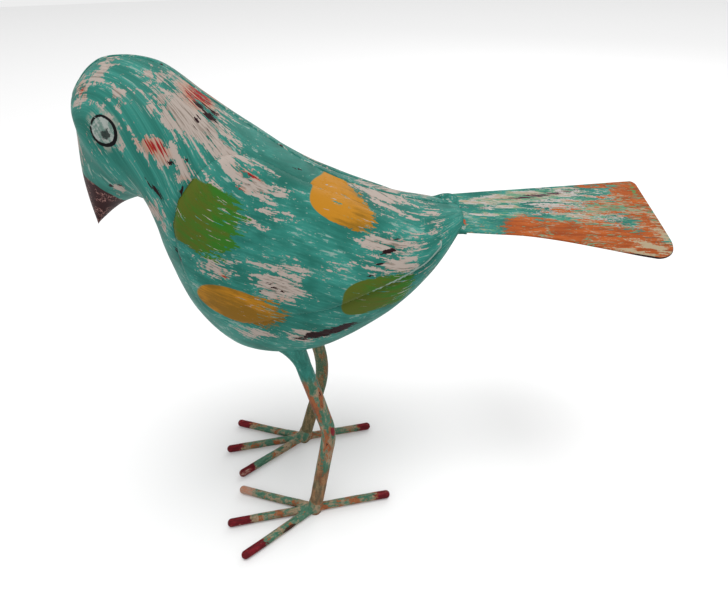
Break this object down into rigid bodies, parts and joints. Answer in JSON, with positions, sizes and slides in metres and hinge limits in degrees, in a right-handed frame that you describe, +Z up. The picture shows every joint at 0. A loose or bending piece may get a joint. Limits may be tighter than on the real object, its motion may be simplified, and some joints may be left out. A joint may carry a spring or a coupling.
{
  "type": "standing garden bird ornament",
  "caption": "Free-standing painted sheet-metal bird with a hollow two-piece body, raised wing panels, flared tail plate and bent rod legs on rod toes.",
  "frame": {"origin": "centre of the bounding box's base, on the floor between the feet", "axes": "+X towards the tail (the bird faces -X), +Y towards the bird's right, +Z up"},
  "size_m": [0.2736, 0.108, 0.2573],
  "materials": {
    "body_paint": "satin teal paint, brushed and worn to beige primer, with orange, green and pink areas",
    "wing_paint": "satin green and teal paint rubbed back to primer at the edges",
    "tail_paint": "satin teal paint over rust orange, dark edges",
    "seam_weld": "ground weld bead, paint worn off in dark specks",
    "hip_weld": "smoothed weld fillet under satin teal paint",
    "leg_paint": "mottled teal and beige paint with rust patches on rod",
    "foot_weld": "lumpy weld under teal-green paint",
    "toe_paint": "mottled teal and beige paint on rod, maroon tips"
  },
  "bodies": {
    "root": {"body_left": "body_paint", "body_right": "body_paint", "back_seam": "seam_weld", "belly_seam": "seam_weld", "wing_left": "wing_paint", "wing_right": "wing_paint", "tail_plate": "tail_paint", "tail_weld": "seam_weld", "leg_left": "leg_paint", "leg_right": "leg_paint", "hip_weld_left": "hip_weld", "hip_weld_right": "hip_weld", "foot_weld_left": "foot_weld", "foot_weld_right": "foot_weld", "toe_inner_left": "toe_paint", "toe_middle_left": "toe_paint", "toe_outer_left": "toe_paint", "toe_back_left": "toe_paint", "toe_inner_right": "toe_paint", "toe_middle_right": "toe_paint", "toe_outer_right": "toe_paint", "toe_back_right": "toe_paint"}
  },
  "joints": []
}
